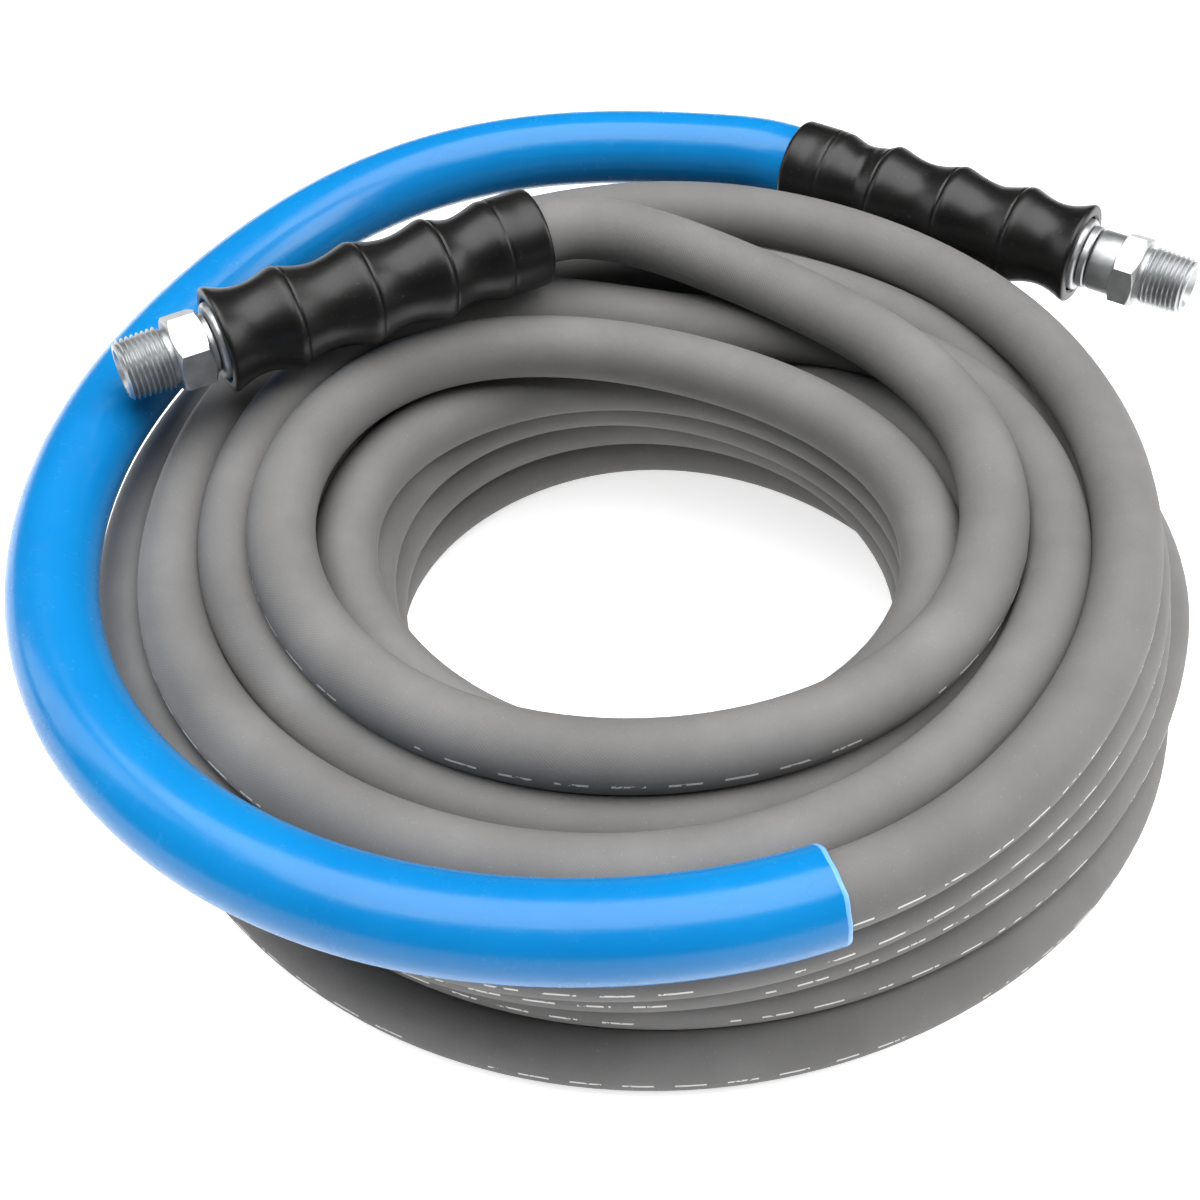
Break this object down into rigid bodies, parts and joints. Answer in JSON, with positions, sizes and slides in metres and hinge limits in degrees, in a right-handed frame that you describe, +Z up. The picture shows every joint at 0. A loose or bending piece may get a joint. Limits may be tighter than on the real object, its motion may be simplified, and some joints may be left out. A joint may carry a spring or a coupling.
{
  "type": "pressure washer hose",
  "caption": "Coiled wire-braided rubber pressure washer hose with a protective sleeve, ribbed bend restrictors, a fixed male fitting and a swivelling male fitting.",
  "frame": {"origin": "on the floor, under the middle of the whole footprint", "axes": "+Z up along the coil's axis, -Y towards the front where the sleeve's open end lies, +X towards the swivel end"},
  "size_m": [0.3223, 0.3129, 0.1134],
  "materials": {
    "hose_rubber": "matte grey extruded rubber cover",
    "sleeve_plastic": "glossy blue extruded plastic",
    "boot_rubber": "satin black moulded rubber",
    "zinc_steel": "bright zinc plated turned steel"
  },
  "bodies": {
    "hose": {"hose_coil": "hose_rubber", "hose_lead_inlet": "hose_rubber", "hose_lead_outlet": "hose_rubber", "abrasion_sleeve": "sleeve_plastic", "bend_restrictor_inlet": "boot_rubber", "bend_restrictor_outlet": "boot_rubber", "ferrule_inlet": "zinc_steel", "ferrule_outlet": "zinc_steel", "stem_inlet": "zinc_steel", "stem_outlet": "zinc_steel"},
    "swivel": {"swivel_nut": "zinc_steel"}
  },
  "joints": [
    {"name": "swivel_turn", "type": "hinge", "parent": "hose", "child": "swivel", "pos_m": [0.13717, 0.07344, 0.07974], "axis": [0.8284, -0.5599, 0.018], "continuous": true}
  ]
}
